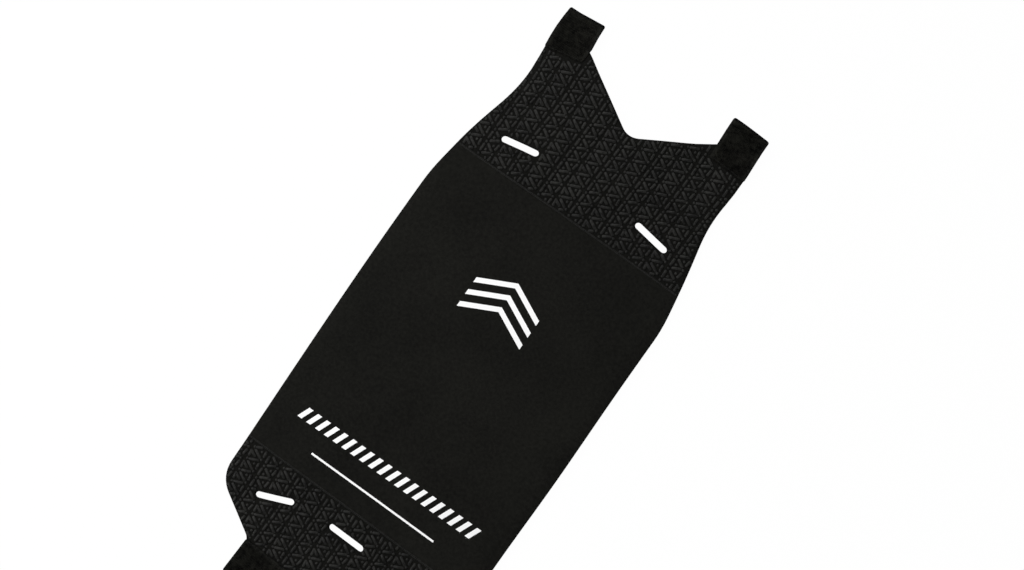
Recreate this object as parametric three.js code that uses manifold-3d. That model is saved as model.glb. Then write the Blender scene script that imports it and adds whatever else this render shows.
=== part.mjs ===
// Fork guard for a bicycle: a flat apron of foam rubber sheet, laid out as it rests on a table.
// A smooth middle panel is joined edge to edge to a patterned grip panel at each end.
// The crown end (+Y) has a V notch between two limbs, each with a square of hook tape on it.
// The foot end (-Y) narrows to a flap with one strip of hook tape across it.
// Millimetres. X runs across the guard, Y along it and Z up; the origin is below its middle.

import * as THREE from "three";
import { mergeVertices } from "three/addons/utils/BufferGeometryUtils.js";
import Module from "manifold-3d";

const { degToRad } = THREE.MathUtils;

// Sheet and hook tape: the tape stands proud of the sheet's cut edge
const sheetThickness = 3.0;
const tapeThickness = 1.6;
const tapeProud = 0.9;

// Lengths of the three panels along the guard
const crownPanelLength = 102.5;
const middlePanelLength = 213.8;
const footPanelLength = 75.7;

// Half widths of the outline
const bodyHalfWidth = 84.3;
const waistHalfWidth = 70.6;
const limbHalfWidth = 71.4;

// Side of the crown end: the body's shoulder, a straight taper and the waist,
// each placed by its rise above the upper seam
const shoulderStartRise = -30.0;
const shoulderEndRise = 5.0;
const taperEndRise = 30.5;
const waistRise = 58.0;
const taperSlope = 0.236;
const taperHalfWidthAtSeam = 81.0;

// V notch between the limbs, measured down from the ends of the limbs to where its sides meet
const notchDepth = 43.4;
const notchSideAngle = degToRad(29.8);
const notchRootRounding = 7.0;

// Tape squares on the limbs, with a lower edge that is higher on the notch side
const tapeWidth = 25.0;
const tapeLength = 25.0;
const tapeSlant = 5.4;
const tapeCornerRadius = 1.5;

// Flap at the foot
const flapHalfWidth = 48.0;
const flapTapeLength = 25.0;
const footTaperAngle = degToRad(30);
const footCornerRounding = 12.0;
const flapCornerRadius = 4.0;

// Strap slots: two in the crown panel, three in the foot panel, the outer ones slanted
const slotLength = 25.0;
const slotWidth = 4.8;
const crownSlotOffset = 47.9;
const crownSlotRise = 18.9;
const crownSlotTilt = degToRad(8.5);
const footSlotOffset = 49.7;
const footSlotDrop = 21.6;
const footSlotTilt = degToRad(23.5);
const footMiddleSlotDrop = 15.0;

// Raised grip pattern: columns of triangles that point right and left in turn, each a raised
// triangular bar with a hollow middle, set off from its neighbours by grooves. A plain rim runs
// along every cut edge, slot, seam and tape
const barHeight = 0.45;
const barWidth = 1.3;
const grooveHalfWidth = 0.75;
const columnWidth = 11.05;
const trianglePitch = 8.5;
const columnShift = 3.2;
const plainRim = 0.8;

// Facets on a curve and on the round end of a slot
const curveFacets = 8;

// Levels that follow from the lengths
const overallLength = footPanelLength + middlePanelLength + crownPanelLength + 2 * tapeProud;
const footTapeEnd = -overallLength / 2;
const footEnd = footTapeEnd + tapeProud;
const lowerSeam = footEnd + footPanelLength;
const upperSeam = lowerSeam + middlePanelLength;
const crownEnd = upperSeam + crownPanelLength;
const crownTapeEnd = crownEnd + tapeProud;
const flapStart = footTapeEnd + flapTapeLength;
const gripTop = sheetThickness + barHeight;

// Widths that follow from the tape
const tapeOuterHalfWidth = limbHalfWidth + tapeProud;
const tapeInnerHalfWidth = tapeOuterHalfWidth - tapeWidth;
const limbInnerHalfWidth = tapeInnerHalfWidth + tapeProud;

// Cutting solids reach this far past what they cut
const beyond = 10;

const wasm = await Module();
wasm.setup();

function solidOf(geometry) {
  const bare = geometry.clone();
  bare.deleteAttribute("normal");
  bare.deleteAttribute("uv");
  const merged = mergeVertices(bare, 1e-5);
  return new wasm.Manifold(new wasm.Mesh({
    numProp: 3,
    vertProperties: Float32Array.from(merged.attributes.position.array),
    triVerts: Uint32Array.from(merged.index.array),
  }));
}

function geometryOf(solid) {
  const mesh = solid.getMesh();
  const geometry = new THREE.BufferGeometry();
  geometry.setAttribute("position", new THREE.BufferAttribute(Float32Array.from(mesh.vertProperties), 3));
  geometry.setIndex(new THREE.BufferAttribute(Uint32Array.from(mesh.triVerts), 1));
  geometry.computeVertexNormals();
  return geometry;
}

function prism(shapes, bottom, top) {
  const options = { depth: top - bottom, bevelEnabled: false, curveSegments: curveFacets };
  return solidOf(new THREE.ExtrudeGeometry(shapes, options).translate(0, 0, bottom));
}

function band(yLow, yHigh, bottom, top) {
  const box = new THREE.BoxGeometry(2 * (bodyHalfWidth + beyond), yHigh - yLow, top - bottom);
  return solidOf(box.translate(0, (yLow + yHigh) / 2, (bottom + top) / 2));
}

// A corner of an outline, cut back by one length on each side and rounded through the corner
function roundedCorner(before, corner, after, cutBack) {
  const start = corner.clone().add(before.clone().sub(corner).setLength(cutBack));
  const end = corner.clone().add(after.clone().sub(corner).setLength(cutBack));
  return { start, corner, end };
}

function drawCorner(shape, before, corner, after, cutBack) {
  const round = roundedCorner(before, corner, after, cutBack);
  shape.lineTo(round.start.x, round.start.y);
  shape.quadraticCurveTo(round.corner.x, round.corner.y, round.end.x, round.end.y);
}

const taperHalfWidth = (rise) => taperHalfWidthAtSeam - taperSlope * rise;
const taperRise = (halfWidth) => (taperHalfWidthAtSeam - halfWidth) / taperSlope;

// Corner points of one side, from the foot to the notch, all inside the cut edge by a rim;
// side is 1 or -1
function sidePath(side, rim) {
  const at = (x, y) => new THREE.Vector2(side * x, y);
  const outer = (halfWidth, y) => at(halfWidth - rim, y);
  const footTaperRise = (bodyHalfWidth - flapHalfWidth) * Math.tan(footTaperAngle);
  const footTaperRim = rim * (1 / Math.cos(footTaperAngle) - Math.tan(footTaperAngle));
  const notchRoot = at(0, crownEnd - notchDepth - rim / Math.cos(notchSideAngle));
  const limbInner = at(limbInnerHalfWidth + rim, crownEnd - rim);
  const notchRise = (limbInnerHalfWidth + rim) * Math.tan(notchSideAngle);
  return {
    flapCorner: outer(flapHalfWidth, footEnd + rim),
    flapTop: outer(flapHalfWidth, flapStart + footTaperRim),
    footCorner: outer(bodyHalfWidth, flapStart + footTaperRise + footTaperRim),
    shoulderStart: outer(bodyHalfWidth, upperSeam + shoulderStartRise),
    shoulderCorner: outer(bodyHalfWidth, upperSeam + taperRise(bodyHalfWidth)),
    shoulderEnd: outer(taperHalfWidth(shoulderEndRise), upperSeam + shoulderEndRise),
    taperEnd: outer(taperHalfWidth(taperEndRise), upperSeam + taperEndRise),
    waistCorner: outer(waistHalfWidth, upperSeam + taperRise(waistHalfWidth)),
    waist: outer(waistHalfWidth, upperSeam + waistRise),
    limbOuter: outer(limbHalfWidth, crownEnd - rim),
    limbInner,
    notchCorner: new THREE.Vector2(limbInner.x, notchRoot.y + notchRise),
    notchRoot,
  };
}

// The whole guard's outline with its slots, drawn anticlockwise from the foot
function guardOutline(rim) {
  const right = sidePath(1, rim);
  const left = sidePath(-1, rim);
  const shape = new THREE.Shape();
  shape.moveTo(0, right.flapCorner.y);
  drawCorner(shape, left.flapCorner, right.flapCorner, right.flapTop, flapCornerRadius);
  drawCorner(shape, right.flapCorner, right.flapTop, right.footCorner, flapCornerRadius);
  drawCorner(shape, right.flapTop, right.footCorner, right.shoulderStart, footCornerRounding);
  shape.lineTo(...right.shoulderStart);
  shape.quadraticCurveTo(...right.shoulderCorner, ...right.shoulderEnd);
  shape.lineTo(...right.taperEnd);
  shape.quadraticCurveTo(...right.waistCorner, ...right.waist);
  shape.lineTo(...right.limbOuter);
  shape.lineTo(...right.limbInner);
  shape.lineTo(...right.notchCorner);
  drawCorner(shape, right.notchCorner, right.notchRoot, left.notchCorner, notchRootRounding);
  shape.lineTo(...left.notchCorner);
  shape.lineTo(...left.limbInner);
  shape.lineTo(...left.limbOuter);
  shape.lineTo(...left.waist);
  shape.quadraticCurveTo(...left.waistCorner, ...left.taperEnd);
  shape.lineTo(...left.shoulderEnd);
  shape.quadraticCurveTo(...left.shoulderCorner, ...left.shoulderStart);
  drawCorner(shape, left.shoulderStart, left.footCorner, left.flapTop, footCornerRounding);
  drawCorner(shape, left.footCorner, left.flapTop, left.flapCorner, flapCornerRadius);
  drawCorner(shape, left.flapTop, left.flapCorner, right.flapCorner, flapCornerRadius);
  shape.holes = slotShapes(rim);
  return shape;
}

// A slot is a straight stretch between two round ends, grown by a rim on every side
function slotShape(x, y, tilt, rim) {
  const reach = (slotLength - slotWidth) / 2;
  const radius = slotWidth / 2 + rim;
  const outer = new THREE.Vector2(x + reach * Math.cos(tilt), y + reach * Math.sin(tilt));
  const inner = new THREE.Vector2(x - reach * Math.cos(tilt), y - reach * Math.sin(tilt));
  const shape = new THREE.Shape();
  shape.absarc(outer.x, outer.y, radius, tilt - Math.PI / 2, tilt + Math.PI / 2, false);
  shape.absarc(inner.x, inner.y, radius, tilt + Math.PI / 2, tilt + 1.5 * Math.PI, false);
  shape.closePath();
  return shape;
}

// The outer slots drop away from the centre line
function slotShapes(rim) {
  const shapes = [slotShape(0, lowerSeam - footMiddleSlotDrop, 0, rim)];
  for (const side of [-1, 1]) {
    shapes.push(slotShape(side * crownSlotOffset, upperSeam + crownSlotRise, -side * crownSlotTilt, rim));
    shapes.push(slotShape(side * footSlotOffset, lowerSeam - footSlotDrop, -side * footSlotTilt, rim));
  }
  return shapes;
}

function closedShape(corners, radius) {
  const shape = new THREE.Shape();
  const count = corners.length;
  corners.forEach((corner, i) => {
    const before = corners[(i + count - 1) % count];
    const after = corners[(i + 1) % count];
    const round = roundedCorner(before, corner, after, radius);
    if (i === 0) shape.moveTo(...round.start);
    else shape.lineTo(...round.start);
    shape.quadraticCurveTo(...round.corner, ...round.end);
  });
  shape.closePath();
  return shape;
}

// Tape square on the limb at one side, grown by a rim
function limbTapeShape(side, rim) {
  const innerLow = crownTapeEnd - tapeLength + tapeSlant / 2 - rim;
  const outerLow = crownTapeEnd - tapeLength - tapeSlant / 2 - rim;
  const corners = [
    new THREE.Vector2(side * (tapeInnerHalfWidth - rim), innerLow),
    new THREE.Vector2(side * (tapeOuterHalfWidth + rim), outerLow),
    new THREE.Vector2(side * (tapeOuterHalfWidth + rim), crownTapeEnd + rim),
    new THREE.Vector2(side * (tapeInnerHalfWidth - rim), crownTapeEnd + rim),
  ];
  return closedShape(corners, tapeCornerRadius);
}

function flapTapeShape() {
  const halfWidth = flapHalfWidth + tapeProud;
  const corners = [
    new THREE.Vector2(-halfWidth, footTapeEnd),
    new THREE.Vector2(halfWidth, footTapeEnd),
    new THREE.Vector2(halfWidth, flapStart),
    new THREE.Vector2(-halfWidth, flapStart),
  ];
  return closedShape(corners, tapeCornerRadius);
}

// A triangle moved inwards on all sides, by shrinking it about the centre of its inscribed circle
function insetTriangle(corners, inset) {
  const [a, b, c] = corners;
  const [across, along, rising] = [b.distanceTo(c), c.distanceTo(a), a.distanceTo(b)];
  const perimeter = across + along + rising;
  const centre = new THREE.Vector2(
    (a.x * across + b.x * along + c.x * rising) / perimeter,
    (a.y * across + b.y * along + c.y * rising) / perimeter,
  );
  const area = Math.abs(THREE.ShapeUtils.area(corners));
  const share = 1 - (inset * perimeter) / (2 * area);
  return corners.map((corner) => corner.clone().sub(centre).multiplyScalar(share).add(centre));
}

function triangularBar(corners) {
  const shape = new THREE.Shape(insetTriangle(corners, grooveHalfWidth));
  shape.holes = [new THREE.Path(insetTriangle(corners, grooveHalfWidth + barWidth))];
  return shape;
}

function isInside(point, polygon) {
  let inside = false;
  polygon.forEach((a, i) => {
    const b = polygon[(i + polygon.length - 1) % polygon.length];
    const crosses = a.y > point.y !== b.y > point.y;
    if (crosses && point.x < a.x + ((point.y - a.y) * (b.x - a.x)) / (b.y - a.y)) inside = !inside;
  });
  return inside;
}

// Every triangle of the pattern that has its middle between two levels and inside the outline,
// column by column
function gripBars(yLow, yHigh) {
  const edge = guardOutline(plainRim).getPoints(curveFacets);
  const shapes = [];
  const addTriangle = (...corners) => {
    const middle = corners[0].clone().add(corners[1]).add(corners[2]).divideScalar(3);
    if (middle.y > yLow && middle.y < yHigh && isInside(middle, edge)) shapes.push(triangularBar(corners));
  };
  const columns = Math.ceil(bodyHalfWidth / columnWidth);
  const rows = Math.ceil((yHigh - yLow) / trianglePitch) + 1;
  const nodeY = (column, row) => yLow + row * trianglePitch + (column % 2 === 0 ? 0 : columnShift);
  const node = (column, row) => new THREE.Vector2(column * columnWidth, nodeY(column, row));
  for (let column = -columns; column < columns; column++) {
    const apexRow = nodeY(column, 0) < nodeY(column + 1, 0) ? 0 : 1;
    for (let row = -2; row <= rows; row++) {
      const apex = row + apexRow;
      addTriangle(node(column, row), node(column + 1, apex), node(column, row + 1));
      addTriangle(node(column + 1, apex), node(column + 1, apex + 1), node(column, row + 1));
    }
  }
  return shapes;
}

const outline = prism(guardOutline(0), -beyond, gripTop + beyond);
const tapeRims = [-1, 1].map((side) => prism(limbTapeShape(side, plainRim), 0, gripTop + beyond));
const patternOutline = prism(guardOutline(plainRim), 0, gripTop + beyond)
  .subtract(tapeRims[0])
  .subtract(tapeRims[1]);

function plainPanel(yLow, yHigh) {
  return outline.intersect(band(yLow, yHigh, 0, sheetThickness));
}

// The bars start inside the sheet, so that sheet and bars are one solid
function gripPanel(yLow, yHigh, patternLow, patternHigh) {
  const bars = prism(gripBars(patternLow, patternHigh), sheetThickness / 2, gripTop)
    .intersect(patternOutline.intersect(band(patternLow, patternHigh, 0, gripTop + beyond)));
  return plainPanel(yLow, yHigh).add(bars);
}

const finishes = {
  smoothSheet: { color: 0x17171a, roughness: 0.78, metalness: 0 },
  gripSheet: { color: 0x131315, roughness: 0.62, metalness: 0 },
  hookTape: { color: 0x0b0b0c, roughness: 0.9, metalness: 0 },
};

const guard = new THREE.Group();

function addPiece(name, solid, finish) {
  const piece = new THREE.Mesh(geometryOf(solid), new THREE.MeshStandardMaterial(finish));
  piece.name = name;
  guard.add(piece);
}

const crownPatternLow = upperSeam + plainRim;
const footPatternLow = flapStart + plainRim;
const footPatternHigh = lowerSeam - plainRim;
const tapeTop = sheetThickness + tapeThickness;

const crownPanel = gripPanel(upperSeam, crownEnd, crownPatternLow, crownEnd);
const footPanel = gripPanel(footEnd, lowerSeam, footPatternLow, footPatternHigh);

addPiece("middle_panel", plainPanel(lowerSeam, upperSeam), finishes.smoothSheet);
addPiece("crown_grip_panel", crownPanel, finishes.gripSheet);
addPiece("foot_grip_panel", footPanel, finishes.gripSheet);
addPiece("left_hook_tape", prism(limbTapeShape(-1, 0), sheetThickness, tapeTop), finishes.hookTape);
addPiece("right_hook_tape", prism(limbTapeShape(1, 0), sheetThickness, tapeTop), finishes.hookTape);
addPiece("flap_hook_tape", prism(flapTapeShape(), sheetThickness, tapeTop), finishes.hookTape);

export default guard;
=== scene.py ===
"""Dresses the flat fork guard: knit-faced panels, raised grip strokes, hook tape, thread and print.

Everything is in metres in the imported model's frame: X across the guard, Y along it towards the
crown end, Z up off the table.
"""

import logging
import math
import random
from dataclasses import dataclass, field
from enum import Enum
from itertools import groupby

import bmesh
import bpy
import numpy as np
from mathutils import Matrix, Vector


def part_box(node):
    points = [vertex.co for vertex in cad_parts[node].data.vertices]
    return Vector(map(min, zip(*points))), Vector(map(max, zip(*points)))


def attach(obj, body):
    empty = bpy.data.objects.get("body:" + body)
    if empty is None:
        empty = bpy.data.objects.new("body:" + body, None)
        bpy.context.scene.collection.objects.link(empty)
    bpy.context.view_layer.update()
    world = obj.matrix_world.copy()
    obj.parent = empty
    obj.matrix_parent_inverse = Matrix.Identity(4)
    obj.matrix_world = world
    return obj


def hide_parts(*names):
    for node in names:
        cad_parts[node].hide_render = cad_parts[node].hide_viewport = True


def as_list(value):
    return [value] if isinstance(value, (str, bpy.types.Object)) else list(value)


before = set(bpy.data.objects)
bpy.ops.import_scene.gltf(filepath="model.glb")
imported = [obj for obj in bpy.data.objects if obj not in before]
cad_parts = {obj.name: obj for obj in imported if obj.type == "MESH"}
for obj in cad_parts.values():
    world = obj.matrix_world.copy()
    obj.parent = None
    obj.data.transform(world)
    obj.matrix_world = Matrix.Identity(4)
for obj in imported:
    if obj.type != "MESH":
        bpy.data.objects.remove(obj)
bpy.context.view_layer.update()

log = logging.getLogger("fork_guard")

BODY = "root"
MM = 0.001
GRID = 9 * MM
SHEET_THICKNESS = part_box("middle_panel")[1].z

Piece = bpy.types.Object
Tree = bpy.types.ShaderNodeTree
Socket = bpy.types.NodeSocket
ShaderNode = bpy.types.ShaderNode
Feed = Socket | float | tuple[float, ...]
Point = tuple[float, float]
Triple = tuple[float, float, float]
Stroke = tuple[Point, Point]


def smooth_step(value: float) -> float:
    """Eases a value into a rise from 0 to 1 without a corner."""
    t = min(max(value, 0.0), 1.0)
    return t * t * (3 - 2 * t)


@dataclass(frozen=True)
class Pull:
    """A place where the sheet lies a little off its flat cut, in millimetres."""

    x: float
    y: float
    across: float
    along: float
    reach: float

    def share(self, x: float, y: float) -> float:
        """Gives how much of the pull a place of the flat cut feels, from 0 to 1."""
        distance = (x / MM - self.x) ** 2 + (y / MM - self.y) ** 2
        return math.exp(-distance / (2 * self.reach**2))


@dataclass(frozen=True)
class StrapSlot:
    """A strap slot, whose soft edges close in a little on each other, in millimetres and degrees."""

    x: float
    y: float
    tilt: float
    length: float = 25.0
    width: float = 4.8
    give: float = 0.44
    reach: float = 1.6
    reach_limit: float = 8.0

    def nudge(self, x: float, y: float) -> Point:
        """Gives how far a place near the slot moves towards its middle line.

        Args:
            x: place across the flat cut, in metres.
            y: place along the flat cut, in metres.

        Returns:
            The move in metres.
        """
        tilt = math.radians(self.tilt)
        dx, dy = x / MM - self.x, y / MM - self.y
        along = dx * math.cos(tilt) + dy * math.sin(tilt)
        across = dy * math.cos(tilt) - dx * math.sin(tilt)
        away = max(abs(across) - self.width / 2, 0.0) + max(abs(along) - self.length / 2, 0.0)
        if away > self.reach_limit:
            return 0.0, 0.0
        press = min(abs(across) / (self.width / 2), 1.0) * math.exp(-away / self.reach)
        move = -math.copysign(self.give * press * MM, across)
        return -math.sin(tilt) * move, math.cos(tilt) * move


@dataclass(frozen=True)
class Lay:
    """How the flat cut lies on the table: a slight bow, low waves and a few small pulls.

    The bow is how far the middle line runs off straight, in millimetres for the square, the cube
    and the fourth power of each 100 mm along it.
    """

    bow_unit: float = 100 * MM
    bow: Triple = (1.27, 0.40, -0.18)
    wave_height: float = 0.8 * MM
    cross_wave: float = 150 * MM
    cross_wave_slant: float = 0.3
    long_wave: float = 255 * MM
    long_wave_slant: float = -0.4
    limb_lift: float = 0.7 * MM
    limb_lift_start: float = 120 * MM
    limb_lift_run: float = 80 * MM
    flap_lift: float = 0.5 * MM
    flap_lift_start: float = -150 * MM
    flap_lift_run: float = 45 * MM
    pulls: tuple[Pull, ...] = tuple(Pull(*values) for values in (
        (0, 150, 1.1, -0.6, 30), (-72, 90, 0.3, -1.2, 32), (60, 95, 0.0, 0.5, 30),
        (-48, 114, -1.0, 0.1, 13), (-58, 110, 0.8, -0.4, 9), (48, 112, -0.9, 0.0, 12),
        (84, -110, -2.0, 0.0, 45), (84, -40, 0.4, 0.0, 30), (-48, 197, -0.3, 1.5, 14),
        (-66, 197, 0.7, -1.9, 14), (52, 197, -0.5, 1.1, 14), (-60, 185, -3.4, 0.0, 16),
        (-47, 181, 2.2, -0.4, 7), (60, 198, -2.6, 0.3, 17), (66, 165, 0.9, 0.0, 16),
        (40, 174, -0.5, -0.9, 11), (-70, 110, -1.0, 0.0, 20), (-72, 138, 0.5, -0.2, 18),
        (72, 140, -0.4, 0.4, 12), (-83, 88, 0.6, 0.0, 10), (83, 90, -0.6, 0.0, 10),
        (-50, -142, 0.8, -0.3, 25), (13, -135, 0.8, 0.0, 6),
    ))
    slots: tuple[StrapSlot, ...] = tuple(StrapSlot(*values) for values in (
        (-47.9, 112.4, 8.5), (47.9, 112.4, -8.5), (-49.7, -141.9, 23.5), (49.7, -141.9, -23.5),
        (0.0, -135.3, 0.0),
    ))

    def lift(self, x: float, y: float) -> float:
        """Gives the height of the underside above the table.

        Args:
            x: place across the flat cut.
            y: place along the flat cut.

        Returns:
            The height, never below the table.
        """
        across = math.sin(2 * math.pi * (x + self.cross_wave_slant * y) / self.cross_wave)
        along = math.cos(2 * math.pi * (y + self.long_wave_slant * x) / self.long_wave)
        waves = self.wave_height * (2 + across + along) / 4
        limb = self.limb_lift * smooth_step((y - self.limb_lift_start) / self.limb_lift_run)
        flap = self.flap_lift * smooth_step((self.flap_lift_start - y) / self.flap_lift_run)
        return waves + limb + flap

    def place(self, point: Vector) -> Vector:
        """Moves a point of the flat cut to where it lies.

        Args:
            point: a point of the flat cut.

        Returns:
            The point as laid.
        """
        x, y, z = point
        part = y / self.bow_unit
        square, cube, fourth = self.bow
        offset = (square * part**2 + cube * part**3 + fourth * part**4) * MM
        slope = (2 * square * part + 3 * cube * part**2 + 4 * fourth * part**3) * MM / self.bow_unit
        turn = math.atan(slope)
        laid_x = offset + x * math.cos(turn)
        laid_y = y - x * math.sin(turn)
        for pull in self.pulls:
            share = pull.share(x, y)
            laid_x += share * pull.across * MM
            laid_y += share * pull.along * MM
        for slot in self.slots:
            across, along = slot.nudge(x, y)
            laid_x += across
            laid_y += along
        return Vector((laid_x, laid_y, z + self.lift(x, y)))


LAY = Lay()


class Modeller:
    """Small helpers round the modelling operators."""

    FACES_UP = 0.5
    EDGE_SEGMENTS = 2

    @staticmethod
    def only(piece: Piece) -> None:
        """Leaves one object selected and active.

        Args:
            piece: the object.
        """
        bpy.ops.object.select_all(action="DESELECT")
        piece.select_set(True)
        bpy.context.view_layer.objects.active = piece

    @staticmethod
    def add(name: str, data: bpy.types.ID) -> Piece:
        """Adds an object to the scene.

        Args:
            name: the object's name.
            data: its mesh, lamp or camera.

        Returns:
            The object.
        """
        added = bpy.data.objects.new(name, data)
        bpy.context.scene.collection.objects.link(added)
        return added

    @staticmethod
    def edit(piece: Piece) -> bmesh.types.BMesh:
        """Opens a piece in edit mode with all of it selected.

        Args:
            piece: the mesh object to edit.

        Returns:
            The edit mesh, for selections in code.
        """
        Modeller.only(piece)
        bpy.ops.object.mode_set(mode="EDIT")
        bpy.ops.mesh.select_mode(type="FACE")
        bpy.ops.mesh.select_all(action="SELECT")
        return bmesh.from_edit_mesh(piece.data)

    @staticmethod
    def disc(sides: int, radius: float) -> Piece:
        """Starts a piece from a flat disc at the origin.

        Args:
            sides: how many sides it has.
            radius: its radius.

        Returns:
            The disc.
        """
        bpy.ops.mesh.primitive_circle_add(vertices=sides, radius=radius, fill_type="NGON")
        return bpy.context.active_object

    @staticmethod
    def draw(move: Triple | Vector) -> None:
        """Extrudes what is selected by a move."""
        bpy.ops.mesh.extrude_region_move(TRANSFORM_OT_translate={"value": move})

    @staticmethod
    def done() -> None:
        """Leaves edit mode."""
        bpy.ops.object.mode_set(mode="OBJECT")

    @staticmethod
    def close() -> None:
        """Turns the edited piece's normals outward and leaves edit mode."""
        bpy.ops.mesh.select_all(action="SELECT")
        bpy.ops.mesh.normals_make_consistent(inside=False)
        Modeller.done()

    @staticmethod
    def thicken(piece: Piece, thickness: float, edge_round: float) -> None:
        """Draws a flat cut up into a sheet and rounds its cut edges.

        Args:
            piece: the flat cut.
            thickness: how thick the sheet is.
            edge_round: how far the rounding reaches in from each cut edge.
        """
        Modeller.edit(piece)
        Modeller.draw((0, 0, thickness))
        Modeller.close()
        edit = Modeller.edit(piece)
        bpy.ops.mesh.select_mode(type="EDGE")
        bpy.ops.mesh.select_all(action="DESELECT")
        for edge in edit.edges:
            edge.select = sum(abs(face.normal.z) > Modeller.FACES_UP for face in edge.link_faces) == 1
        bpy.ops.mesh.bevel(offset=edge_round, offset_type="OFFSET", segments=Modeller.EDGE_SEGMENTS,
                           affect="EDGES")
        Modeller.done()

    @staticmethod
    def join(pieces: list[Piece], name: str) -> Piece:
        """Joins pieces into one object.

        Args:
            pieces: the objects to join.
            name: the joined object's name.

        Returns:
            The joined object.
        """
        bpy.ops.object.select_all(action="DESELECT")
        for piece in pieces:
            piece.select_set(True)
        bpy.context.view_layer.objects.active = pieces[0]
        bpy.ops.object.join()
        joined = bpy.context.view_layer.objects.active
        joined.name = name
        joined.data.name = name
        return joined

    @staticmethod
    def repeat(unit: Piece, places: list[list[Vector]], name: str) -> Piece:
        """Copies a modelled unit to each of its places and joins the copies.

        Args:
            unit: the unit as modelled, which is used up.
            places: for each copy, where the unit's vertices go, in order.
            name: the joined object's name.

        Returns:
            The copies as one object.
        """
        copies = []
        for corners in places:
            copy = Modeller.add(name, unit.data.copy())
            for vertex, corner in zip(copy.data.vertices, corners):
                vertex.co = corner
            copies.append(copy)
        bpy.data.objects.remove(unit)
        return Modeller.join(copies, name)

    @staticmethod
    def cut_across(piece: Piece, axis: int, places: list[float]) -> None:
        """Cuts a piece right through at planes square to an axis.

        Args:
            piece: the mesh object to cut.
            axis: 0 for X, 1 for Y.
            places: the planes' places on that axis.
        """
        normal = (1, 0, 0) if axis == 0 else (0, 1, 0)
        Modeller.edit(piece)
        for place in places:
            bpy.ops.mesh.select_all(action="SELECT")
            bpy.ops.mesh.bisect(plane_co=[place * n for n in normal], plane_no=normal)
        Modeller.done()

    @staticmethod
    def finish(piece: Piece, slot: str) -> None:
        """Moves a piece from the flat cut to where it lies, on the one body.

        Args:
            piece: the piece.
            slot: not used.
        """
        for vertex in piece.data.vertices:
            vertex.co = LAY.place(vertex.co)
        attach(piece, BODY)

    @staticmethod
    def smooth(piece: Piece, angle: float = 40.0) -> None:
        """Shades a piece smooth up to an angle in degrees."""
        Modeller.only(piece)
        bpy.ops.object.shade_smooth_by_angle(angle=math.radians(angle))


@dataclass
class Cutout:
    """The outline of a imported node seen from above, with its holes."""

    node: str
    edges: np.ndarray = field(init=False)
    area: float = field(init=False)

    WELD = 0.001 * MM
    FLAT_WITHIN = 0.01 * MM
    STRAIGHT_WITHIN = math.radians(0.2)

    def __post_init__(self) -> None:
        """Reads the boundary and the area of the node's lowest face, slots left out."""
        flat = self.flat_copy("outline_copy")
        mesh = flat.data
        uses: dict[tuple[int, int], int] = {}
        for polygon in mesh.polygons:
            for key in polygon.edge_keys:
                uses[key] = uses.get(key, 0) + 1
        self.area = sum(polygon.area for polygon in mesh.polygons)
        points = [(v.co.x, v.co.y) for v in mesh.vertices]
        self.edges = np.array([(points[a], points[b]) for (a, b), n in uses.items() if n == 1])
        bpy.data.objects.remove(flat)
        bpy.data.meshes.remove(mesh)

    def flat_copy(self, name: str) -> Piece:
        """Copies the node's lowest face as a flat sheet.

        Args:
            name: the copy's name.

        Returns:
            A new object with the flat outline.
        """
        copy = Modeller.add(name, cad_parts[self.node].data.copy())
        copy.data.materials.clear()
        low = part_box(self.node)[0].z
        edit = Modeller.edit(copy)
        bpy.ops.mesh.remove_doubles(threshold=self.WELD)
        bpy.ops.mesh.select_all(action="DESELECT")
        for face in edit.faces:
            face.select = max(v.co.z for v in face.verts) > low + self.FLAT_WITHIN
        bpy.ops.mesh.delete(type="FACE")
        bpy.ops.mesh.select_all(action="SELECT")
        bpy.ops.mesh.dissolve_limited(angle_limit=self.STRAIGHT_WITHIN)
        Modeller.done()
        return copy

    def cut_sheet(self, name: str) -> Piece:
        """Copies the flat outline and cuts it along a grid, so that it can follow the waves.

        Args:
            name: the copy's name.

        Returns:
            A new object with the flat outline.
        """
        sheet = self.flat_copy(name)
        low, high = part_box(self.node)
        for axis in (0, 1):
            count = int((high[axis] - low[axis]) / GRID) + 1
            size = (high[axis] - low[axis]) / count
            Modeller.cut_across(sheet, axis, [low[axis] + size * k for k in range(1, count)])
        return sheet

    def inside(self, points: np.ndarray) -> np.ndarray:
        """Says which points lie on material.

        Args:
            points: an array of X, Y pairs.

        Returns:
            A mask, true where a point is inside the outline and out of its holes.
        """
        a, b = self.edges[:, 0], self.edges[:, 1]
        x, y = points[:, 0:1], points[:, 1:2]
        spans = (a[:, 1] > y) != (b[:, 1] > y)
        rise = np.where(b[:, 1] == a[:, 1], 1e-12, b[:, 1] - a[:, 1])
        meets = x < a[:, 0] + (y - a[:, 1]) * (b[:, 0] - a[:, 0]) / rise
        return (spans & meets).sum(axis=1) % 2 == 1

    def distance(self, points: np.ndarray) -> np.ndarray:
        """Measures how far points are from the nearest cut edge.

        Args:
            points: an array of X, Y pairs.

        Returns:
            The distances.
        """
        a, b = self.edges[:, 0], self.edges[:, 1]
        along = b - a
        length = np.maximum((along**2).sum(axis=1), 1e-18)
        share = ((points[:, None] - a) * along).sum(axis=2) / length
        nearest = a + np.clip(share, 0, 1)[..., None] * along
        return np.sqrt(((points[:, None] - nearest) ** 2).sum(axis=2)).min(axis=1)


class Grain(Enum):
    """Fine surface patterns that a finish can ask for, each with its columns per row of loops."""

    SKIN = 0.0
    KNIT = 0.5
    WEAVE = 1.0


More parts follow.
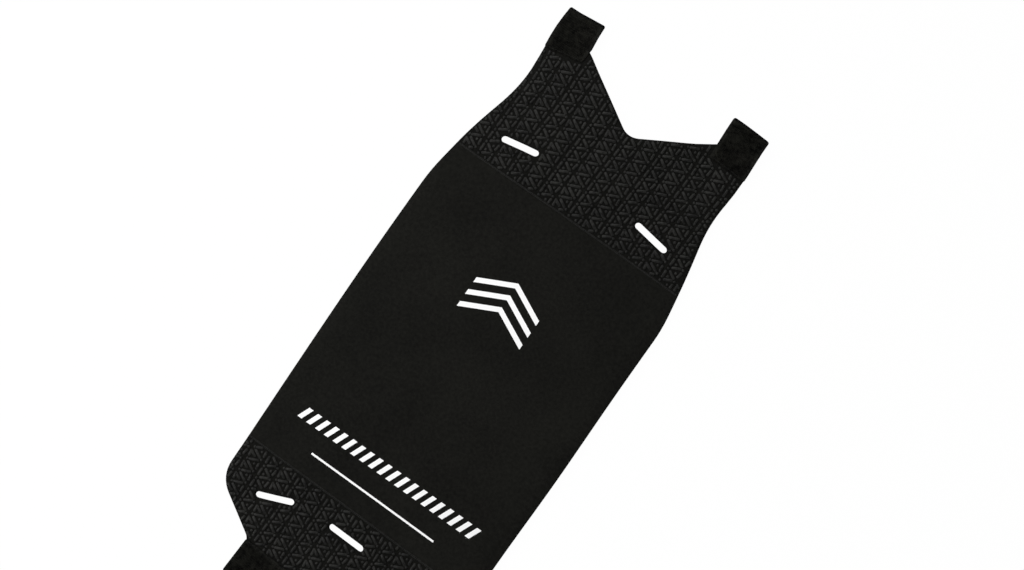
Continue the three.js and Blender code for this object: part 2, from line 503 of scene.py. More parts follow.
class NodeTools:
    """Helpers for shader nodes, and the shared node groups, each built once."""

    FLECKS_PER_METRE = 520.0
    DARKEST_FACTOR = 0.1
    MEAN_OF_THREE = 1.5
    groups: dict[str, Tree] = {}

    @staticmethod
    def feed(tree: Tree, sockets: bpy.types.bpy_prop_collection, feeds: dict[str | int, Feed]) -> None:
        """Links outputs to sockets, or sets the sockets to plain values.

        Args:
            tree: the node tree that holds them.
            sockets: a node's inputs.
            feeds: an output or a value for each socket, by its name or its place.
        """
        for key, value in feeds.items():
            if isinstance(value, Socket):
                tree.links.new(value, sockets[key])
            else:
                sockets[key].default_value = value

    @staticmethod
    def add(tree: Tree, kind: str, feeds: dict[str | int, Feed], operation: str = "") -> ShaderNode:
        """Adds a node of a kind and feeds its inputs.

        Args:
            tree: the node tree it goes into.
            kind: the node's type, without ShaderNode.
            feeds: an output or a value for each input, by its name or its place.
            operation: the operation of a Math or Vector Math node.

        Returns:
            The node.
        """
        node = tree.nodes.new("ShaderNode" + kind)
        if operation:
            node.operation = operation
        NodeTools.feed(tree, node.inputs, feeds)
        return node

    @staticmethod
    def calculate(tree: Tree, operation: str, *values: Feed) -> Socket:
        """Adds a Math node, fed in order, and gives its output."""
        return NodeTools.add(tree, "Math", dict(enumerate(values)), operation).outputs[0]

    @staticmethod
    def shade(tree: Tree, colour: Socket, factor: Socket) -> Socket:
        """Adds a node that multiplies a colour by a factor, and gives its output."""
        return NodeTools.add(tree, "VectorMath", {"Vector": colour, "Scale": factor}, "SCALE").outputs[0]

    @staticmethod
    def noise(tree: Tree, per_metre: Feed, detail: float) -> Socket:
        """Adds a noise over the object's own coordinates.

        Args:
            tree: the node tree it goes into.
            per_metre: what feeds its scale.
            detail: how many finer layers it has.

        Returns:
            Its output.
        """
        place = tree.nodes.new("ShaderNodeTexCoord").outputs["Object"]
        node = NodeTools.add(tree, "TexNoise", {"Vector": place, "Scale": per_metre, "Detail": detail})
        return node.outputs["Fac"]

    @classmethod
    def new_group(cls, name: str, takes: tuple[str, ...], gives: tuple[str, ...]) -> Tree:
        """Starts a shared group with named inputs and outputs.

        Args:
            name: the group's name.
            takes: its inputs; one called Colour is a colour and the others are numbers.
            gives: its outputs, likewise.

        Returns:
            The group.
        """
        tree = bpy.data.node_groups.new(name, "ShaderNodeTree")
        for way, labels in (("INPUT", takes), ("OUTPUT", gives)):
            for label in labels:
                kind = "NodeSocketColor" if label == "Colour" else "NodeSocketFloat"
                tree.interface.new_socket(name=label, in_out=way, socket_type=kind)
        cls.groups[name] = tree
        return tree

    @classmethod
    def speckle(cls) -> Tree:
        """Gives the shared group that mottles a colour and has a fine grain's height.

        Returns:
            The node group.
        """
        if "mottled_grain" in cls.groups:
            return cls.groups["mottled_grain"]
        tree = cls.new_group("mottled_grain", ("Colour", "Grain Size", "Patch Size", "Mottle"),
                             ("Colour", "Height", "Patch"))
        entry = tree.nodes.new("NodeGroupInput").outputs
        leave = tree.nodes.new("NodeGroupOutput").inputs
        grain = cls.noise(tree, entry["Grain Size"], 2.0)
        patch = cls.noise(tree, entry["Patch Size"], 3.0)
        fleck = cls.noise(tree, cls.FLECKS_PER_METRE, 1.0)
        total = cls.calculate(tree, "ADD", cls.calculate(tree, "ADD", patch, grain), fleck)
        centred = cls.calculate(tree, "SUBTRACT", total, cls.MEAN_OF_THREE)
        factor = cls.calculate(tree, "MULTIPLY_ADD", centred, entry["Mottle"], 1.0)
        factor = cls.calculate(tree, "MAXIMUM", factor, cls.DARKEST_FACTOR)
        mottled = cls.shade(tree, entry["Colour"], factor)
        cls.feed(tree, leave, {"Colour": mottled, "Height": grain, "Patch": patch})
        return tree

    @classmethod
    def rows(cls) -> Tree:
        """Gives the shared group with the height of crossing rows, as knit or weave has.

        Returns:
            The node group.
        """
        if "crossing_rows" in cls.groups:
            return cls.groups["crossing_rows"]
        tree = cls.new_group("crossing_rows", ("Rows per Metre", "Columns per Metre"), ("Height",))
        entry = tree.nodes.new("NodeGroupInput").outputs
        leave = tree.nodes.new("NodeGroupOutput").inputs
        place = tree.nodes.new("ShaderNodeTexCoord").outputs["Object"]
        parts = cls.add(tree, "SeparateXYZ", {0: place}).outputs
        waves = []
        for axis, count in (("Y", "Rows per Metre"), ("X", "Columns per Metre")):
            turns = cls.calculate(tree, "MULTIPLY", parts[axis], entry[count])
            angle = cls.calculate(tree, "MULTIPLY", turns, 2 * math.pi)
            waves.append(cls.calculate(tree, "SINE", angle))
        crossed = cls.calculate(tree, "MULTIPLY", *waves)
        cls.feed(tree, leave, {"Height": cls.calculate(tree, "MULTIPLY_ADD", crossed, 0.5, 0.5)})
        return tree


@dataclass(frozen=True)
class Finish:
    """A soft goods finish: a colour with mottle, a roughness, a fine grain with real height and, for knit and
    weave, painted shade in the hollows between the rows and painted light on their crowns.
    """

    name: str
    colour: Triple
    grain: Grain
    roughness: float
    specular: float
    mottle: float = 0.8
    bump_depth: float = 0.04 * MM
    grain_per_metre: float = 2500.0
    rows_per_metre: float = 0.0
    patch_per_metre: float = 22.0
    sheen: float = 0.0
    sheen_roughness: float = 0.5
    roughness_spread: float = 0.06
    patch_low: float = 0.3
    patch_high: float = 0.7
    row_height: float = 0.6
    # How strongly the rows' height darkens the hollows and lightens the crowns: painted shade and light.
    row_painted_shade: float = 0.5
    bump_strength: float = 0.8

    def material(self) -> bpy.types.Material:
        """Builds the finish's material, once.

        Returns:
            The material.
        """
        known = bpy.data.materials.get(self.name)
        if known:
            return known
        material = bpy.data.materials.new(self.name)
        material.use_nodes = True
        tree = material.node_tree
        mottled = tree.nodes.new("ShaderNodeGroup")
        mottled.node_tree = NodeTools.speckle()
        NodeTools.feed(tree, mottled.inputs, {
            "Colour": (*self.colour, 1.0), "Grain Size": self.grain_per_metre,
            "Patch Size": self.patch_per_metre, "Mottle": self.mottle})
        colour, height = mottled.outputs["Colour"], mottled.outputs["Height"]
        if self.grain is not Grain.SKIN:
            rows = tree.nodes.new("ShaderNodeGroup")
            rows.node_tree = NodeTools.rows()
            NodeTools.feed(tree, rows.inputs, {
                "Rows per Metre": self.rows_per_metre,
                "Columns per Metre": self.rows_per_metre * self.grain.value})
            raised = rows.outputs["Height"]
            height = NodeTools.calculate(tree, "MULTIPLY_ADD", raised, self.row_height, height)
            # Painted shade and light: the colour is darkened in the hollows between the rows and lightened on
            # their crowns.
            factor = NodeTools.calculate(tree, "MULTIPLY_ADD", raised, self.row_painted_shade, 1 - self.row_painted_shade / 2)
            colour = NodeTools.shade(tree, colour, factor)
        rough = NodeTools.add(tree, "MapRange", {
            "Value": mottled.outputs["Patch"], "From Min": self.patch_low, "From Max": self.patch_high,
            "To Min": self.roughness - self.roughness_spread,
            "To Max": self.roughness + self.roughness_spread})
        bump = NodeTools.add(tree, "Bump", {
            "Strength": self.bump_strength, "Distance": self.bump_depth, "Height": height})
        NodeTools.feed(tree, tree.nodes["Principled BSDF"].inputs, {
            "Base Color": colour, "Roughness": rough.outputs["Result"], "Normal": bump.outputs["Normal"],
            "Specular IOR Level": self.specular, "Sheen Weight": self.sheen,
            "Sheen Roughness": self.sheen_roughness})
        return material


KNIT_FACE = Finish("knit_face", (0.0073, 0.0073, 0.0062), Grain.KNIT, roughness=0.8, specular=0.041,
                   mottle=1.1, bump_depth=0.18 * MM, grain_per_metre=2600.0, rows_per_metre=1500.0,
                   sheen=0.013)
GRIP_GROUND = Finish("grip_ground", (0.0055, 0.0055, 0.0048), Grain.KNIT, roughness=0.85, specular=0.038,
                     mottle=1.1, bump_depth=0.18 * MM, grain_per_metre=2400.0, rows_per_metre=1500.0)
GRIP_RUBBER = Finish("grip_rubber", (0.0100, 0.0100, 0.0090), Grain.SKIN, roughness=0.55, specular=0.125,
                     mottle=2.4, bump_depth=0.06 * MM, grain_per_metre=2200.0, patch_per_metre=90.0)
FOAM_EDGE = Finish("foam_edge", (0.0052, 0.0052, 0.0048), Grain.SKIN, roughness=0.9, specular=0.05,
                   mottle=0.9, bump_depth=0.20 * MM, grain_per_metre=3500.0)
TAPE_SELVEDGE = Finish("tape_selvedge", (0.0073, 0.0073, 0.0061), Grain.WEAVE, roughness=0.85,
                       specular=0.045, mottle=2.7, bump_depth=0.14 * MM, rows_per_metre=1100.0,
                       patch_per_metre=160.0)
TAPE_GROUND = Finish("tape_ground", (0.0053, 0.0053, 0.0043), Grain.WEAVE, roughness=0.85,
                     specular=0.035, mottle=2.8, bump_depth=0.12 * MM, rows_per_metre=1800.0,
                     patch_per_metre=160.0)
# Near-black, for a band across the upper end of a tape.
TAPE_DARK_END = Finish("tape_dark_end", (0.0008, 0.0008, 0.0008), Grain.SKIN, roughness=0.5, specular=0.02)
HOOK_NYLON = Finish("hook_nylon", (0.0067, 0.0067, 0.0056), Grain.SKIN, roughness=0.6, specular=0.12,
                    mottle=3.2, bump_depth=0.03 * MM, grain_per_metre=900.0, patch_per_metre=160.0)
SEAM_THREAD = Finish("seam_thread", (0.0185, 0.0185, 0.0170), Grain.WEAVE, roughness=0.7, specular=0.25,
                     rows_per_metre=3200.0)
TAPE_THREAD = Finish("tape_thread", (0.0070, 0.0070, 0.0064), Grain.WEAVE, roughness=0.7, specular=0.12,
                     rows_per_metre=3200.0)
INK = Finish("white_ink", (0.92, 0.92, 0.92), Grain.SKIN, roughness=0.6, specular=0.3, mottle=0.05,
             bump_depth=0.03 * MM, grain_per_metre=1600.0)


@dataclass
class SheetPanel:
    """One panel of 3 mm foam rubber sheet, cut to the outline of its node."""

    name: str
    node: str
    face: Finish
    slot: str
    with_pieces: list[Piece]
    edge_round: float = 0.4 * MM
    steep: float = 0.35

    def build(self) -> Piece:
        """Builds the panel: outline, thickness, rounded cut edges and its finishes.

        Returns:
            The panel, laid down.
        """
        sheet = Cutout(self.node).cut_sheet(self.name)
        Modeller.thicken(sheet, SHEET_THICKNESS, self.edge_round)
        for finish in (self.face, FOAM_EDGE):
            sheet.data.materials.append(finish.material())
        for polygon in sheet.data.polygons:
            polygon.material_index = 1 if abs(polygon.normal.z) < self.steep else 0
        Modeller.finish(sheet, self.slot)
        Modeller.smooth(sheet)
        return sheet

    def dress(self) -> None:
        """Builds the panel and puts it in the place of its node."""
        sheet = self.build()
        low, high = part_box(self.node)
        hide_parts(self.node)
        Cutout(self.node).area
        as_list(self.with_pieces)
        log.info("%s: %d faces", sheet.name, len(sheet.data.polygons))


@dataclass
class StrokeField:
    """Many short raised strokes with round ends on one level, made from one modelled stroke."""

    name: str
    strokes: list[Stroke]
    width: float
    height: float
    level: float
    finish: Finish
    slot: str
    sides: int = 8
    sunk: float = 0.15 * MM
    shoulder_rise: float = 0.7
    shoulder_width: float = 0.94
    crown_width: float = 0.84
    smooth_angle: float = 60.0

    def unit(self) -> Piece:
        """Models one round stroke of unit size: a disc drawn up into a dome.

        Returns:
            The unit stroke, one metre wide, ready to be copied.
        """
        unit = Modeller.disc(self.sides, 0.5)
        unit.data.transform(Matrix.Rotation(math.pi / self.sides, 4, "Z"))
        Modeller.edit(unit)
        rise = self.height / self.width
        drop = self.sunk / self.width
        shoulder = self.shoulder_rise * rise
        bpy.ops.transform.translate(value=(0, 0, -drop))
        for up, share in ((drop + shoulder, self.shoulder_width), (rise - shoulder, self.crown_width)):
            Modeller.draw((0, 0, up))
            bpy.ops.transform.resize(value=(share, share, 1), center_override=(0, 0, 0))
        Modeller.close()
        return unit

    def build(self) -> Piece:
        """Copies the unit stroke along every stroke and joins the copies.

        Returns:
            The field of strokes, laid down.
        """
        unit = self.unit()
        base = [v.co * self.width for v in unit.data.vertices]
        places = []
        for (ax, ay), (bx, by) in self.strokes:
            along = Vector((bx - ax, by - ay, 0))
            turn = Matrix.Rotation(math.atan2(along.y, along.x), 3, "Z")
            middle = Vector(((ax + bx) / 2, (ay + by) / 2, self.level))
            reach = Vector((along.length / 2, 0, 0))
            places.append([middle + turn @ (p + (reach if p.x > 0 else -reach)) for p in base])
        piece = Modeller.repeat(unit, places, self.name)
        piece.data.materials.append(self.finish.material())
        Modeller.finish(piece, self.slot)
        Modeller.smooth(piece, self.smooth_angle)
        log.info("%s: %d strokes", self.name, len(self.strokes))
        return piece


@dataclass
class GripPattern:
    """The raised pattern of a patterned panel: one repeat of short strokes on a lattice."""

    node: str
    covers: list[Cutout]
    start: Point
    low: float
    high: float
    repeat_across: float = 22.12 * MM
    repeat_along: float = 8.46 * MM
    stroke_width: float = 1.9 * MM
    stroke_height: float = 0.42 * MM
    rim: float = 0.5 * MM
    seam_rim: float = 0.9 * MM
    samples: int = 13

    # Ends of the strokes of one repeat, in millimetres from a meeting point of six grooves. A
    # stroke whose ends are the same is a dot.
    REPEAT = (
        ((1.3, -2.1), (4.9, -3.7)), ((1.4, -2.5), (1.7, -5.2)), ((1.9, -7.5), (1.9, -7.5)),
        ((3.4, -6.9), (8.0, -4.9)), ((3.6, -0.4), (8.2, -2.8)), ((9.6, -3.4), (9.6, -3.4)),
        ((9.7, 2.0), (9.8, 0.3)), ((10.0, -0.8), (10.0, -0.8)), ((7.4, 0.8), (7.4, 0.8)),
        ((13.1, -5.3), (13.1, -5.3)), ((12.9, 0.9), (12.9, -2.7)), ((15.6, -1.1), (15.6, -1.1)),
        ((15.2, 2.2), (19.1, 0.0)), ((15.0, -3.7), (19.0, -1.6)), ((18.3, -5.3), (18.3, -5.3)),
        ((20.9, -3.6), (20.5, -6.4)), ((20.7, -1.4), (20.7, -1.4)),
    )

    def strokes(self) -> list[Stroke]:
        """Lays the repeat over the panel and clips each stroke to its outline.

        Returns:
            The strokes that fit on the panel.
        """
        outline = Cutout(self.node)
        low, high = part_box(self.node)
        margin = self.stroke_width / 2 + self.rim
        kept: list[Stroke] = []
        columns = self.steps(low.x - self.start[0], high.x - self.start[0], self.repeat_across)
        rows = self.steps(self.low - self.start[1], self.high - self.start[1], self.repeat_along)
        share = np.linspace(0, 1, self.samples)[:, None]
        for column in columns:
            for row in rows:
                corner = np.array((self.start[0] + column * self.repeat_across,
                                   self.start[1] + row * self.repeat_along))
                for ends in self.REPEAT:
                    a, b = corner + np.array(ends[0]) * MM, corner + np.array(ends[1]) * MM
                    line = a + share * (b - a)
                    fits = outline.inside(line) & (outline.distance(line) > margin)
                    fits &= (line[:, 1] > self.low + self.seam_rim) & (line[:, 1] < self.high - self.seam_rim)
                    for cover in self.covers:
                        fits &= ~cover.inside(line) & (cover.distance(line) > margin)
                    run = self.longest_run(fits)
                    if run:
                        kept.append((tuple(line[run[0]]), tuple(line[run[1]])))
        return kept

    @staticmethod
    def steps(low: float, high: float, size: float) -> range:
        """Gives the whole steps that cover a stretch, with one to spare at each end."""
        return range(math.floor(low / size) - 1, math.ceil(high / size) + 2)

    @staticmethod
    def longest_run(fits: np.ndarray) -> tuple[int, int] | None:
        """Finds the longest stretch of true values.

        Args:
            fits: a mask along a stroke.

        Returns:
            The first and last place of the stretch, or None.
        """
        runs = [list(run) for fit, run in groupby(range(len(fits)), key=fits.__getitem__) if fit]
        best = max(runs, key=len, default=None)
        return (best[0], best[-1]) if best else None

    def build(self, name: str) -> Piece:
        """Builds the pattern's raised strokes as one piece of this name."""
        return StrokeField(name, self.strokes(), self.stroke_width, self.stroke_height,
                           SHEET_THICKNESS, GRIP_RUBBER, "grip_sheet").build()


@dataclass
class HookTape:
    """A length of hook tape: a woven base with plain selvedges, a near-black band across its upper end and
    rows of small hooks.
    """

    name: str
    node: str
    lies_across: bool = False
    base: float = 0.65 * MM
    edge_round: float = 0.25 * MM
    selvedge: float = 2.2 * MM
    dark_end_band: float = 1.2 * MM
    bare_rim: float = 0.8 * MM
    bare_end: float = 1.9 * MM
    hook_pitch: Point = (1.05 * MM, 1.25 * MM)
    hook_sides: int = 4
    hook_radius: float = 0.12 * MM
    hook_taper: float = 0.88
    hook_swing: float = 0.5
    hook_tilt: float = 0.2
    hook_sizes: Point = (0.9, 1.05)
    seed: int = 11
    inner_drop: float = 0.0
    outer_drop: float = 0.0
    outer_tuck: float = 0.0
    low: Vector = field(init=False)
    high: Vector = field(init=False)

    # Each step of a hook: its length in millimetres and the turn in degrees at its end.
    HOOK_STEPS = ((0.45, 0), (0.22, 45), (0.2, 60), (0.18, 45))

    def __post_init__(self) -> None:
        """Reads the box of the tape's node."""
        self.low, self.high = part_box(self.node)

    def cover(self) -> Cutout:
        """Gives where the tape covers the sheet.

        Returns:
            The outline of the tape as it was sewn on.
        """
        outline = Cutout(self.node)
        outline.edges = np.array([[self.settled(a), self.settled(b)] for a, b in outline.edges])
        return outline

    def settled(self, point: Point) -> Point:
        """Gives where a point of the tape lies, as its lower end was sewn a little off the square.

        Args:
            point: a place on the flat cut.

        Returns:
            The place after sewing.
        """
        x, y = point
        side = 1 if self.low.x + self.high.x > 0 else -1
        inner = min(abs(self.low.x), abs(self.high.x))
        down = (self.high.y - y) / (self.high.y - self.low.y)
        out = (abs(x) - inner) / (self.high.x - self.low.x)
        drop = self.inner_drop * (1 - out) + self.outer_drop * out
        return x - side * down * self.outer_tuck * out, y - down * drop

    def from_side(self, place: Point) -> float:
        """Gives how far a place is inside the tape's nearer selvedge."""
        axis = 1 if self.lies_across else 0
        return min(place[axis] - self.low[axis], self.high[axis] - place[axis])

    def build_base(self) -> Piece:
        """Builds the woven base from the node's outline, with its selvedges and, on a tape that runs along
        the guard, a near-black band across its upper end.

        Returns:
            The base, on its level.
        """
        base = Cutout(self.node).cut_sheet(self.name)
        side = 1 if self.lies_across else 0
        Modeller.cut_across(base, side, [self.low[side] + self.selvedge, self.high[side] - self.selvedge])
        # A band across the tape's upper end, coloured near-black on a tape that runs along the guard.
        end = self.high.y - self.dark_end_band
        Modeller.cut_across(base, 1, [end])
        Modeller.thicken(base, self.base, self.edge_round)
        for finish in (TAPE_SELVEDGE, TAPE_GROUND, TAPE_DARK_END):
            base.data.materials.append(finish.material())
        for face in base.data.polygons:
            face.material_index = 1 if self.from_side(face.center) > self.selvedge else 0
            if not self.lies_across and face.center.y > end:
                face.material_index = 2
        return base

    def unit_hook(self) -> Piece:
        """Models one hook: a thin stem that bends over into a short beak.

        Returns:
            The hook, standing at the origin.
        """
        hook = Modeller.disc(self.hook_sides, self.hook_radius)
        Modeller.edit(hook)
        place = Vector((0, 0, 0))
        heading = 0.0
        for step, turn in self.HOOK_STEPS:
            move = Vector((math.sin(heading), 0, math.cos(heading))) * step * MM
            Modeller.draw(move)
            place += move
            if turn:
                bpy.ops.transform.rotate(value=-math.radians(turn), orient_axis="Y",
                                         center_override=place)
                bpy.ops.transform.resize(value=[self.hook_taper] * 3, center_override=place)
                heading += math.radians(turn)
        Modeller.close()
        return hook

    def build_hooks(self, level: float) -> Piece:
        """Sets hooks in rows over the tape, each with a little tilt of its own.

        Args:
            level: the height of the base's face.

        Returns:
            The hooks as one object.
        """
        unit = self.unit_hook()
        outline = Cutout(self.node)
        low, high = self.low, self.high
        chance = random.Random(self.seed)
        shape = [v.co.copy() for v in unit.data.vertices]
        places = []
        columns = int((high.x - low.x) / self.hook_pitch[0])
        rows = int((high.y - low.y) / self.hook_pitch[1])
        for column in range(columns + 1):
            for row in range(rows + 1):
                x = low.x + (column + 0.5 * (row % 2)) * self.hook_pitch[0]
                y = low.y + row * self.hook_pitch[1]
                here = np.array([[x, y]])
                if not outline.inside(here)[0] or outline.distance(here)[0] < self.bare_rim:
                    continue
                if self.from_side((x, y)) < self.selvedge or y > high.y - self.bare_end:
                    continue
                facing = math.pi * (row % 2) + chance.uniform(-self.hook_swing, self.hook_swing)
                tilt = chance.uniform(-self.hook_tilt, self.hook_tilt)
                turn = Matrix.Rotation(facing, 3, "Z") @ Matrix.Rotation(tilt, 3, "X")
                size = chance.uniform(*self.hook_sizes)
                places.append([Vector((x, y, level)) + turn @ (p * size) for p in shape])
        hooks = Modeller.repeat(unit, places, self.name + "_hooks")
        hooks.data.materials.append(HOOK_NYLON.material())
        Modeller.smooth(hooks, angle=60.0)
        return hooks

    def dress(self) -> list[Piece]:
        """Builds the tape and puts it in the place of its node.

        Returns:
            The tape's base and its hooks.
        """
        base = self.build_base()
        hooks = self.build_hooks(self.low.z + self.base)
        for piece in (base, hooks):
            for vertex in piece.data.vertices:
                vertex.co.xy = self.settled((vertex.co.x, vertex.co.y))
            Modeller.finish(piece, "hook_tape")
        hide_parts(self.node)
        log.info("%s: %d hook faces", self.name, len(hooks.data.polygons))
        return [base, hooks]


@dataclass
class Stitching:
    """Rows of thread: close short stitches over the seams and running ones round the tapes."""

    thread: float = 0.32 * MM
    thread_sides: int = 6
    seam_height: float = 0.2 * MM
    seam_probe: float = 0.6 * MM
    seam_reach: float = 0.5 * MM
    seam_lean: float = 0.3 * MM
    seam_pitch: float = 0.72 * MM
    run_pitch: float = 2.6 * MM
    run_stitch: float = 1.9 * MM
    run_height: float = 0.15 * MM
    tape_inset: float = 0.9 * MM

    def over_seam(self, name: str, node: str, upper: bool) -> Piece:
        """Sews close short stitches over the edge of a panel that is joined to the next.

        Args:
            name: the piece's name.
            node: a patterned panel.
            upper: whether the seam is the panel's upper edge.

        Returns:
            The stitches.
        """
        low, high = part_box(node)
        seam = high.y if upper else low.y
        outline = Cutout(node)
        probe = seam - self.seam_probe if upper else seam + self.seam_probe
        strokes: list[Stroke] = []
        for step in range(int((high.x - low.x) / self.seam_pitch)):
            x = low.x + (step + 0.5) * self.seam_pitch
            here = np.array([[x - self.thread, probe], [x + self.thread, probe]])
            if outline.inside(here).all():
                strokes.append(((x - self.seam_lean / 2, seam - self.seam_reach),
                                (x + self.seam_lean / 2, seam + self.seam_reach)))
        return StrokeField(name, strokes, self.thread, self.seam_height, SHEET_THICKNESS, SEAM_THREAD,
                           "smooth_sheet", sides=self.thread_sides).build()

    def round_tape(self, tape: HookTape) -> Piece:
        """Sews running stitches just inside the edge of a tape.

        Args:
            tape: the tape.

        Returns:
            The stitches.
        """
        outline = Cutout(tape.node)
        middle = outline.edges.reshape(-1, 2).mean(axis=0)
        reach = (tape.high - tape.low) / 2
        shrink = np.array((1 - self.tape_inset / reach.x, 1 - self.tape_inset / reach.y))
        strokes: list[Stroke] = []
        for a, b in outline.edges:
            a, b = middle + (a - middle) * shrink, middle + (b - middle) * shrink
            length = float(np.linalg.norm(b - a))
            way = (b - a) / length
            count = int(length / self.run_pitch)
            for step in range(count):
                start = a + (b - a) * (step + 0.5) / count - way * self.run_stitch / 2
                end = start + way * self.run_stitch
                strokes.append((tuple(start), tuple(end)))
        strokes = [(tape.settled(a), tape.settled(b)) for a, b in strokes]
        return StrokeField(tape.name + "_stitches", strokes, self.thread, self.run_height,
                           tape.low.z + tape.base, TAPE_THREAD, "hook_tape",
                           sides=self.thread_sides).build()


@dataclass
class PrintedMarks:
    """White ink on the middle panel: nested chevrons above and a row of slanted bars below."""

    ink: float = 0.06 * MM
    sunk: float = 0.03 * MM
    plate_cuts: int = 3
    chevron_span: float = 46 * MM
    chevron_rise: float = 11 * MM
    chevron_stroke: float = 3.4 * MM
    chevron_step: float = 8.5 * MM
    chevron_count: int = 3
    chevrons_from_seam: float = 48 * MM
    bar_count: int = 20
    bar_pitch: float = 6.6 * MM
    bar_width: float = 3.1 * MM
    bar_height: float = 8.0 * MM
    bar_slant: float = math.radians(24)
    bars_from_seam: float = 27 * MM
    rule_width: float = 92 * MM
    rule_height: float = 1.2 * MM
    rule_from_seam: float = 13 * MM

    def plate(self, corners: list[Point]) -> Piece:
        """Models one flat field of ink from its four corners.

        Args:
            corners: the corners in order, anticlockwise.

        Returns:
            The field, cut fine enough to follow the sheet.
        """
        bpy.ops.mesh.primitive_plane_add(size=1)
        plate = bpy.context.active_object
        for vertex, (x, y) in zip(plate.data.vertices, (corners[0], corners[1], corners[3], corners[2])):
            vertex.co = Vector((x, y, SHEET_THICKNESS - self.sunk))
        Modeller.edit(plate)
        bpy.ops.mesh.subdivide(number_cuts=self.plate_cuts)
        Modeller.draw((0, 0, self.sunk + self.ink))
        Modeller.close()
        return plate

    def build(self) -> Piece:
        """Builds all the ink as one piece.

        Returns:
            The printed marks, laid down.
        """
        low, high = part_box("middle_panel")
        fields = []
        for index in range(self.chevron_count):
            top = high.y - self.chevrons_from_seam - index * self.chevron_step
            half = self.chevron_span / 2
            for side in (-1, 1):
                outer, drop = side * half, top - self.chevron_rise
                corners = [(0, top - self.chevron_stroke), (outer, drop - self.chevron_stroke),
                           (outer, drop), (0, top)]
                fields.append(self.plate(corners if side > 0 else corners[::-1]))
        bars_y = low.y + self.bars_from_seam
        lean = math.tan(self.bar_slant) * self.bar_height
        for index in range(self.bar_count):
            x = (index - (self.bar_count - 1) / 2) * self.bar_pitch - lean / 2
            half = self.bar_width / 2
            fields.append(self.plate([(x - half, bars_y), (x + half, bars_y),
                                      (x + half + lean, bars_y + self.bar_height),
                                      (x - half + lean, bars_y + self.bar_height)]))
        rule_y, half = low.y + self.rule_from_seam, self.rule_width / 2
        fields.append(self.plate([(-half, rule_y), (half, rule_y), (half, rule_y + self.rule_height),
                                  (-half, rule_y + self.rule_height)]))
        marks = Modeller.join(fields, "printed_marks")
        marks.data.materials.append(INK.material())
        Modeller.finish(marks, "smooth_sheet")
        log.info("printed_marks: %d fields", len(fields))
        return marks


@dataclass(frozen=True)
class Softbox:
    """One square softbox that looks at the guard: where it hangs, its side and its watts."""

    name: str
    place: Triple
    size: float
    energy: float

    def hang(self) -> None:
        """Adds the lamp to the scene."""
        data = bpy.data.lights.new(self.name, "AREA")
        data.size = self.size
        data.energy = self.energy
        lamp = Modeller.add(self.name, data)
        lamp.location = self.place
        lamp.rotation_euler = (-Vector(self.place)).to_track_quat("-Z", "Y").to_euler()


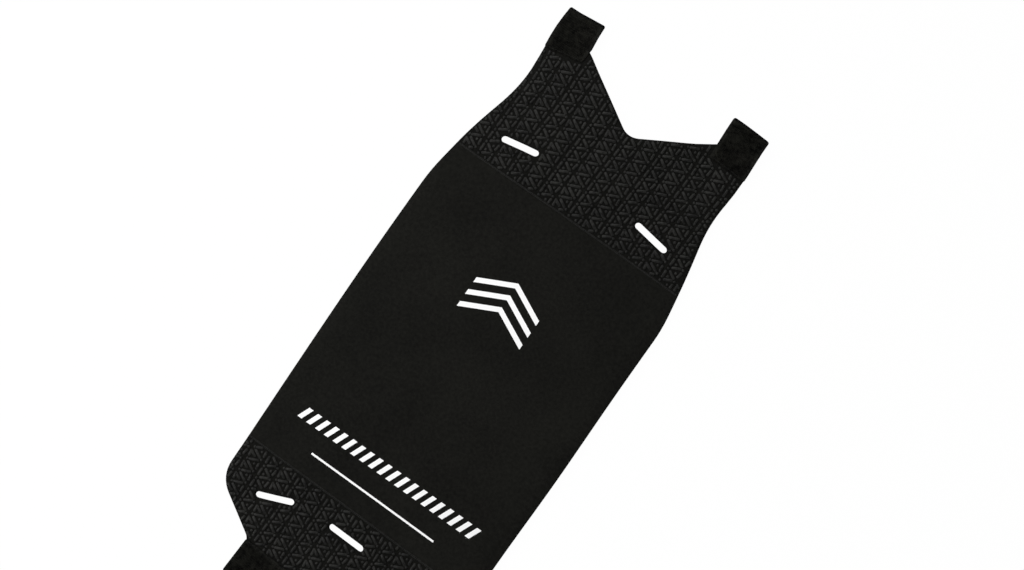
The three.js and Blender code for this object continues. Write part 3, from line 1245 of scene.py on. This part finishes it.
@dataclass
class Studio:
    """The white floor, soft light and the camera above the guard."""

    aim: Triple = (-2.60 * MM, 42.69 * MM, 3.00 * MM)
    away: Triple = (0.20926, 0.01468, 0.97775)
    up: Triple = (-0.55571, 0.82452, 0.10655)
    distance: float = 1057.0 * MM
    focal_px: float = 1800.0
    image_width: int = 1024
    sensor_width: float = 36.0
    clip_start: float = 0.01
    floor_size: float = 6.0
    floor_drop: float = 0.05 * MM
    floor_white: float = 0.9
    floor_roughness: float = 0.9
    floor_glow: float = 0.985
    dome: float = 0.23
    lamps: tuple[Softbox, ...] = (
        Softbox("crown_softbox", (-0.45, 0.45, 0.45), 0.5, 3.95),
        Softbox("foot_softbox", (-0.5, -0.35, 0.45), 0.5, 3.95),
        Softbox("fill_softbox", (0.6, -0.1, 0.6), 0.6, 1.5),
    )

    def floor(self) -> None:
        """Builds the white floor, which reads white to the camera and keeps a soft shadow."""
        bpy.ops.mesh.primitive_plane_add(size=self.floor_size, location=(0, 0, -self.floor_drop))
        floor = bpy.context.active_object
        floor.name = "floor"
        material = bpy.data.materials.new("white_floor")
        material.use_nodes = True
        tree = material.node_tree
        shader = tree.nodes["Principled BSDF"]
        NodeTools.feed(tree, shader.inputs, {
            "Base Color": (*[self.floor_white] * 3, 1), "Roughness": self.floor_roughness})
        glow = NodeTools.add(tree, "Emission", {"Strength": 1.0})
        seen = tree.nodes.new("ShaderNodeLightPath").outputs["Is Camera Ray"]
        share = NodeTools.calculate(tree, "MULTIPLY", seen, self.floor_glow)
        mixed = NodeTools.add(tree, "MixShader", {0: share, 1: shader.outputs[0], 2: glow.outputs[0]})
        tree.links.new(mixed.outputs[0], tree.nodes["Material Output"].inputs["Surface"])
        floor.data.materials.append(material)

    def world(self) -> None:
        """Sets the plain white dome of light."""
        world = bpy.data.worlds.new("white_dome")
        world.use_nodes = True
        tree = world.node_tree
        seen = tree.nodes.new("ShaderNodeLightPath").outputs["Is Camera Ray"]
        strength = NodeTools.add(tree, "MapRange", {"Value": seen, "To Min": self.dome, "To Max": 1.0})
        NodeTools.feed(tree, tree.nodes["Background"].inputs, {
            "Color": (1, 1, 1, 1), "Strength": strength.outputs["Result"]})
        bpy.context.scene.world = world

    def camera(self) -> None:
        """Places the camera as the photograph has it."""
        data = bpy.data.cameras.new("camera")
        data.sensor_width = self.sensor_width
        data.lens = data.sensor_width * self.focal_px / self.image_width
        data.clip_start = self.clip_start
        camera = Modeller.add("camera", data)
        back = Vector(self.away).normalized()
        up = Vector(self.up)
        up = (up - back * up.dot(back)).normalized()
        turn = Matrix((up.cross(back), up, back)).transposed().to_4x4()
        camera.matrix_world = Matrix.Translation(Vector(self.aim) + back * self.distance) @ turn
        bpy.context.scene.camera = camera

    def build(self) -> None:
        """Builds the whole set."""
        bpy.context.scene.view_settings.view_transform = "Standard"
        self.floor()
        self.world()
        for lamp in self.lamps:
            lamp.hang()
        self.camera()


def main() -> None:
    """Builds the studio and every piece of the guard, and reports them."""
    logging.basicConfig(level=logging.INFO, format="%(message)s")
    Studio().build()
    crown_low, crown_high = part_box("crown_grip_panel")
    foot_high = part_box("foot_grip_panel")[1]
    left = HookTape("left_tape", "left_hook_tape", inner_drop=3.0 * MM, outer_drop=1.7 * MM,
                    outer_tuck=1.2 * MM, seed=11)
    right = HookTape("right_tape", "right_hook_tape", inner_drop=4.0 * MM, outer_drop=-0.8 * MM,
                     outer_tuck=0.6 * MM, seed=12)
    flap = HookTape("flap_tape", "flap_hook_tape", lies_across=True, seed=13)
    crown_extras = [GripPattern("crown_grip_panel", [left.cover(), right.cover()],
                                (9.5 * MM, 117.5 * MM), crown_low.y,
                                crown_high.y).build("crown_grip_bars")]
    foot_extras = [GripPattern("foot_grip_panel", [], (9.5 * MM, -150.0 * MM), flap.high.y,
                               foot_high.y).build("foot_grip_bars")]
    stitching = Stitching()
    for extras, tape in ((crown_extras, left), (crown_extras, right), (foot_extras, flap)):
        extras += tape.dress()
        extras.append(stitching.round_tape(tape))
    marks = PrintedMarks().build()
    seams = [stitching.over_seam("upper_seam_stitches", "crown_grip_panel", False),
             stitching.over_seam("lower_seam_stitches", "foot_grip_panel", True)]
    SheetPanel("middle_sheet", "middle_panel", KNIT_FACE, "smooth_sheet", [marks, *seams]).dress()
    SheetPanel("crown_grip_sheet", "crown_grip_panel", GRIP_GROUND, "grip_sheet", crown_extras).dress()
    SheetPanel("foot_grip_sheet", "foot_grip_panel", GRIP_GROUND, "grip_sheet", foot_extras).dress()


if __name__ == "__main__":
    main()
